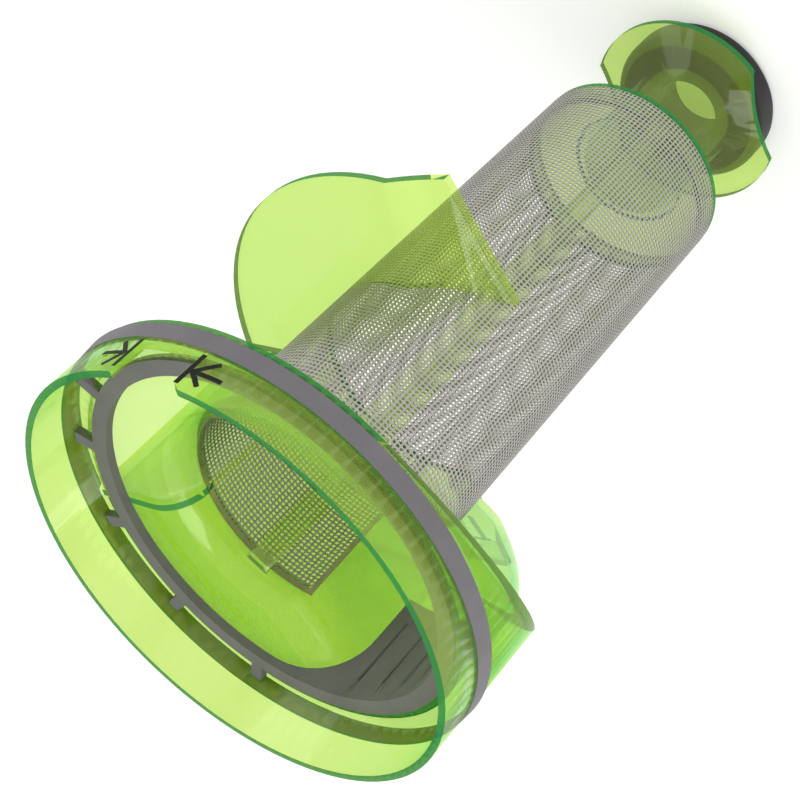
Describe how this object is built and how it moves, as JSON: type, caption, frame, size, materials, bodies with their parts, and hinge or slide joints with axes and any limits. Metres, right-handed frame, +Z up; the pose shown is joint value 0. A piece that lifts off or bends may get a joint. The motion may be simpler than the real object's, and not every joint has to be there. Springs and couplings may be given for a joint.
{
  "type": "vacuum cleaner cone filter",
  "caption": "Dust separator insert: a wide sealed collar leads into a tapered perforated tube with a swirl flight round it and a flanged spool with a rubber foot at the end.",
  "frame": {"origin": "centre of the foot's underside, on the tube's axis", "axes": "+Z up the axis to the open collar, -Y towards the front notch of the collar"},
  "size_m": [0.1162, 0.1162, 0.216],
  "materials": {
    "body_plastic": "clear tinted moulding",
    "screen_steel": "perforated sheet",
    "seal_rubber": "soft matt",
    "foot_rubber": "soft matt"
  },
  "bodies": {
    "root": {"filter_body": "body_plastic", "screen": "screen_steel", "seal": "seal_rubber", "rubber_foot": "foot_rubber"}
  },
  "joints": []
}
